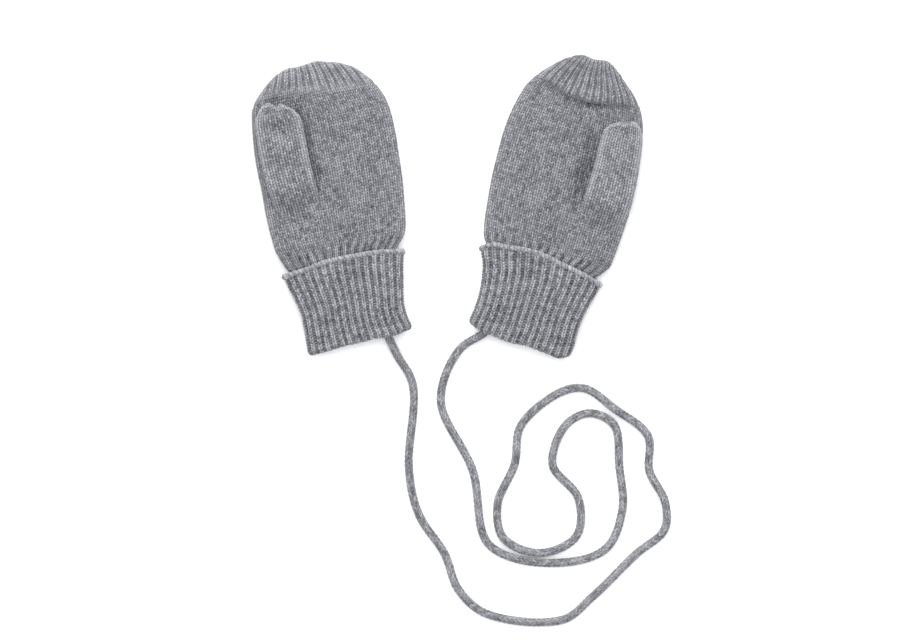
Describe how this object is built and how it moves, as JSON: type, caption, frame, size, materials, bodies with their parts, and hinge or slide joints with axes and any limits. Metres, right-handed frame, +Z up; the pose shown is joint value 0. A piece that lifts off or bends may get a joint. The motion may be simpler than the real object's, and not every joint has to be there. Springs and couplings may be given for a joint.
{
  "type": "knitted mitten pair on a cord",
  "caption": "Knitted toddler mittens with ribbed turn-up cuffs, ribbed fingertips and side thumbs, joined by a knitted cord; laid flat, palms up.",
  "frame": {"origin": "middle of the two mittens' overall box, on the surface they lie on; the cord is left out of that box", "axes": "+Z up out of the palms, +Y towards the fingertips, +X from the left mitten to the right mitten"},
  "size_m": [0.2075, 0.2861, 0.0179],
  "materials": {
    "plain_knit": "soft brushed wool, grey melange, plain knitting",
    "rib_knit": "soft brushed wool, grey melange, one-by-one ribbing",
    "edge_yarn": "soft cast-on edge of the same wool",
    "sewing_yarn": "the same wool used for seams and closing threads",
    "cord_knit": "narrow knitted tube of the same wool"
  },
  "bodies": {
    "cord": {"cord": "cord_knit", "left_cord_tack": "sewing_yarn", "right_cord_tack": "sewing_yarn"},
    "left_cuff": {"left_inner_cuff": "rib_knit", "left_turn_up": "rib_knit", "left_cast_on_edge": "edge_yarn"},
    "left_hand": {"left_palm_panel": "plain_knit", "left_back_panel": "plain_knit", "left_rib_tip": "rib_knit", "left_tip_gather": "sewing_yarn", "left_side_seam": "sewing_yarn", "left_thumb_seam": "sewing_yarn"},
    "left_thumb": {"left_thumb": "plain_knit", "left_thumb_gather": "sewing_yarn"},
    "right_cuff": {"right_inner_cuff": "rib_knit", "right_turn_up": "rib_knit", "right_cast_on_edge": "edge_yarn"},
    "right_hand": {"right_palm_panel": "plain_knit", "right_back_panel": "plain_knit", "right_rib_tip": "rib_knit", "right_tip_gather": "sewing_yarn", "right_side_seam": "sewing_yarn", "right_thumb_seam": "sewing_yarn"},
    "right_thumb": {"right_thumb": "plain_knit", "right_thumb_gather": "sewing_yarn"}
  },
  "joints": [
    {"name": "left_mitten_swing", "type": "hinge", "parent": "cord", "child": "left_cuff", "pos_m": [-0.0318, -0.0607, 0.0065], "axis": [0, 0, 1], "range_deg": [-10, 20]},
    {"name": "left_wrist_bend", "type": "hinge", "parent": "left_cuff", "child": "left_hand", "pos_m": [-0.05394, -0.02673, 0.0107], "axis": [0.9759, 0.2181, 0], "range_deg": [0, 60]},
    {"name": "left_thumb_lift", "type": "hinge", "parent": "left_hand", "child": "left_thumb", "pos_m": [-0.07568, -0.00372, 0.0105], "axis": [0.9806, 0.1959, 0], "range_deg": [0, 80]},
    {"name": "right_mitten_swing", "type": "hinge", "parent": "cord", "child": "right_cuff", "pos_m": [0.0204, -0.0586, 0.0065], "axis": [0, 0, -1], "range_deg": [-10, 20]},
    {"name": "right_wrist_bend", "type": "hinge", "parent": "right_cuff", "child": "right_hand", "pos_m": [0.04771, -0.02697, 0.0107], "axis": [0.9563, -0.2924, 0], "range_deg": [0, 60]},
    {"name": "right_thumb_lift", "type": "hinge", "parent": "right_hand", "child": "right_thumb", "pos_m": [0.07709, -0.00751, 0.0105], "axis": [0.9792, -0.2028, 0], "range_deg": [0, 80]}
  ]
}
